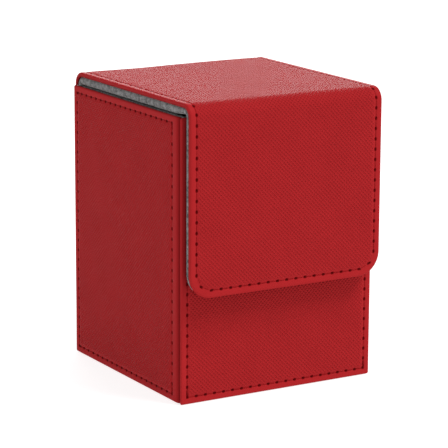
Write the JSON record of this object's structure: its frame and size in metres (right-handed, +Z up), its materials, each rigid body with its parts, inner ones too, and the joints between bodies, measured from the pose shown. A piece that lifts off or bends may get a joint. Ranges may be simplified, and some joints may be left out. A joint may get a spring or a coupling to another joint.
{
  "type": "card deck box",
  "caption": "Upright box for a deck of cards, with stitched leatherette walls, a soft lining and a lid whose front flap folds down over the front and holds with hidden magnets.",
  "frame": {"origin": "centre of the closed box's bounding box, on the face that it stands on", "axes": "+Z up, along the height and the longest side; +X to the viewer's right when the flap is in front; the flap hangs on the -Y side and the back hinge fold is on the +Y side"},
  "size_m": [0.078, 0.0842, 0.1055],
  "materials": {
    "leatherette": "red PU leatherette with a fine diagonal cross-hatch emboss, satin, smooth along the rolled edges",
    "microfibre": "grey microfibre suede with a short soft nap, matte",
    "board": "plain grey bookbinding board",
    "magnet": "nickel-plated disc magnet",
    "thread": "red polyester sewing thread, slightly glossy"
  },
  "bodies": {
    "box": {"bottom_skin": "leatherette", "front_skin": "leatherette", "back_skin": "leatherette", "left_skin": "leatherette", "right_skin": "leatherette", "floor_board": "board", "front_board": "board", "back_board": "board", "left_board": "board", "right_board": "board", "floor_lining": "microfibre", "front_lining": "microfibre", "back_lining": "microfibre", "left_lining": "microfibre", "right_lining": "microfibre", "front_magnets": "magnet", "front_stitching": "thread", "back_stitching": "thread", "left_stitching": "thread", "right_stitching": "thread"},
    "lid": {"lid_skin": "leatherette", "lid_board": "board", "lid_lining": "microfibre", "lid_stitching": "thread", "back_fold_skin": "leatherette", "back_fold_lining": "microfibre"},
    "flap": {"flap_skin": "leatherette", "flap_board": "board", "flap_lining": "microfibre", "flap_magnets": "magnet", "flap_stitching": "thread", "front_fold_skin": "leatherette", "front_fold_lining": "microfibre"}
  },
  "joints": [
    {"name": "lid_fold", "type": "hinge", "parent": "box", "child": "lid", "pos_m": [0, 0.04046, 0.10386], "axis": [-1, 0, 0], "range_deg": [0, 175], "deforming": ["back_fold_skin", "back_fold_lining"]},
    {"name": "flap_fold", "type": "hinge", "parent": "lid", "child": "flap", "pos_m": [0, -0.04046, 0.10386], "axis": [-1, 0, 0], "range_deg": [0, 120], "deforming": ["front_fold_skin", "front_fold_lining"]}
  ]
}
